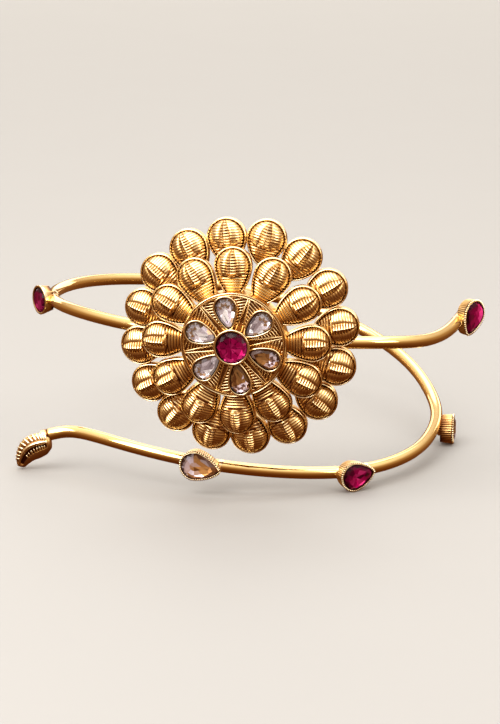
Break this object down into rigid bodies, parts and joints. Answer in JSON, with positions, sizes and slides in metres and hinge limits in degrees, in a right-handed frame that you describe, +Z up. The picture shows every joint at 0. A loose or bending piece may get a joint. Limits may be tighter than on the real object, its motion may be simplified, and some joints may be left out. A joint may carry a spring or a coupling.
{
  "type": "upper-arm armlet",
  "caption": "Sprung wire armlet that coils round the upper arm, with a large petalled flower of stones in front, jewelled collets along the wire and a curled leaf at its end.",
  "frame": {"origin": "middle of the armlet's box, on the surface that it rests on", "axes": "+Z up along the arm's way through the coil, -Y towards the viewer of the flower, +X to that viewer's right"},
  "size_m": [0.095, 0.0926, 0.0558],
  "materials": {
    "gold": "warm polished gold plate with brown antique colour in the recesses",
    "ruby": "faceted crimson stone, closed back",
    "clear_stone": "faceted clear stone over silvery foil",
    "champagne_stone": "faceted champagne stone over foil"
  },
  "bodies": {
    "root": {"band": "gold", "flower": "gold", "centre_ruby": "ruby", "disc_stone_1": "clear_stone", "disc_stone_2": "clear_stone", "disc_stone_3": "clear_stone", "disc_stone_4": "clear_stone", "disc_stone_5": "champagne_stone", "disc_stone_6": "champagne_stone", "left_ruby": "ruby", "upper_end_ruby": "ruby", "front_ruby": "ruby", "front_champagne": "champagne_stone", "side_stone": "champagne_stone"}
  },
  "joints": []
}
